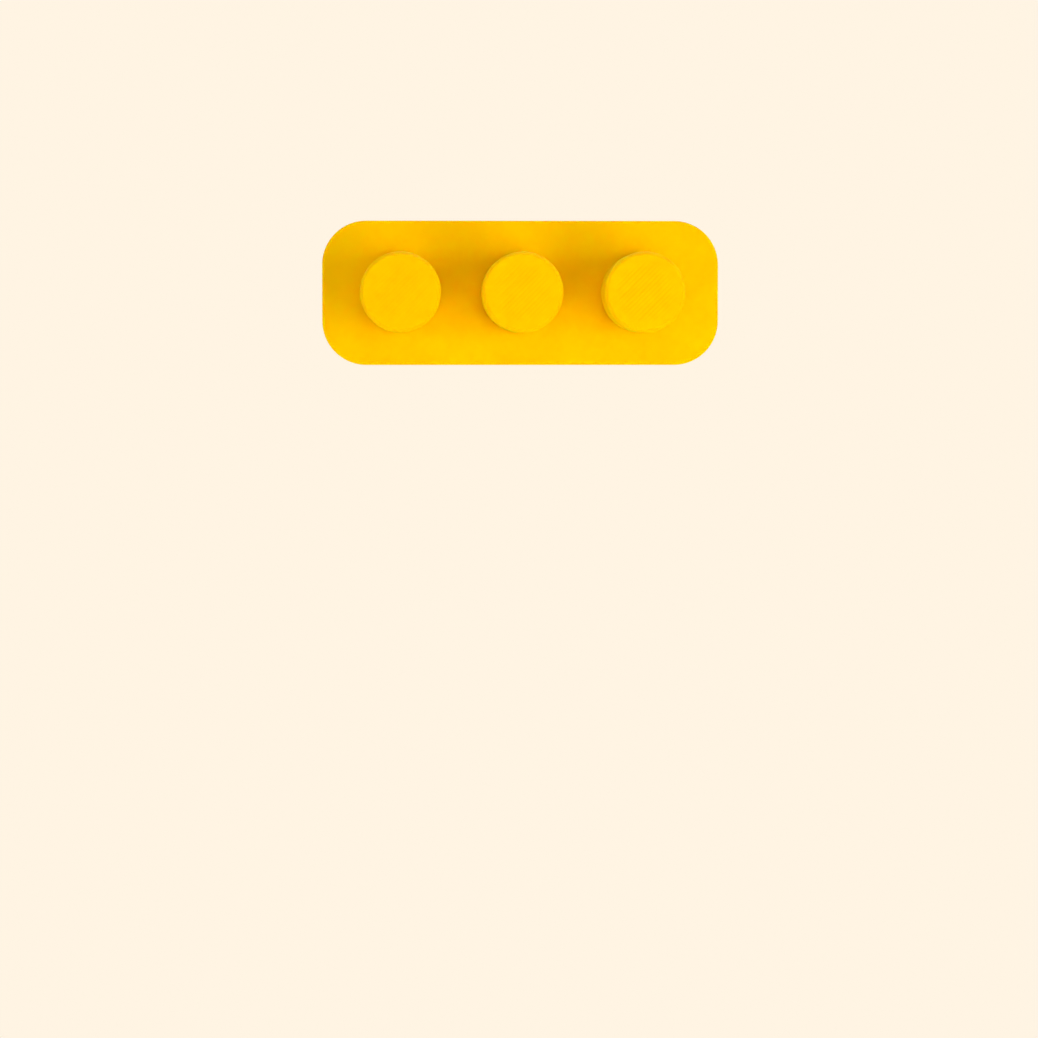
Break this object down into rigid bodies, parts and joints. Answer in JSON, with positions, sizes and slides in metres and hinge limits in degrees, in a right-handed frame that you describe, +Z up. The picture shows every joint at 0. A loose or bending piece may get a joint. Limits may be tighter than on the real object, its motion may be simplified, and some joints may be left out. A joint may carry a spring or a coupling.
{
  "type": "toothbrush holder",
  "caption": "Wall-mounted toothbrush holder: a rounded plate with a row of round pegs that hold handles by the neck, and an adhesive foam pad behind.",
  "frame": {"origin": "middle of the foam pad's wall face", "axes": "+X to the right along the row of pegs, +Y into the wall, +Z up"},
  "size_m": [0.09, 0.0215, 0.0326],
  "materials": {
    "plate": "3D-printed yellow, matte, printed face down so its front is fine and even",
    "peg": "3D-printed yellow, matte, with fine layer lines round the sides and diagonal print lines on the tip",
    "screw": "zinc-plated steel",
    "pad": "white closed-cell foam with an adhesive face"
  },
  "bodies": {
    "root": {"face_plate": "plate", "left_peg": "peg", "middle_peg": "peg", "right_peg": "peg", "left_peg_screw": "screw", "middle_peg_screw": "screw", "right_peg_screw": "screw", "foam_pad": "pad"}
  },
  "joints": []
}
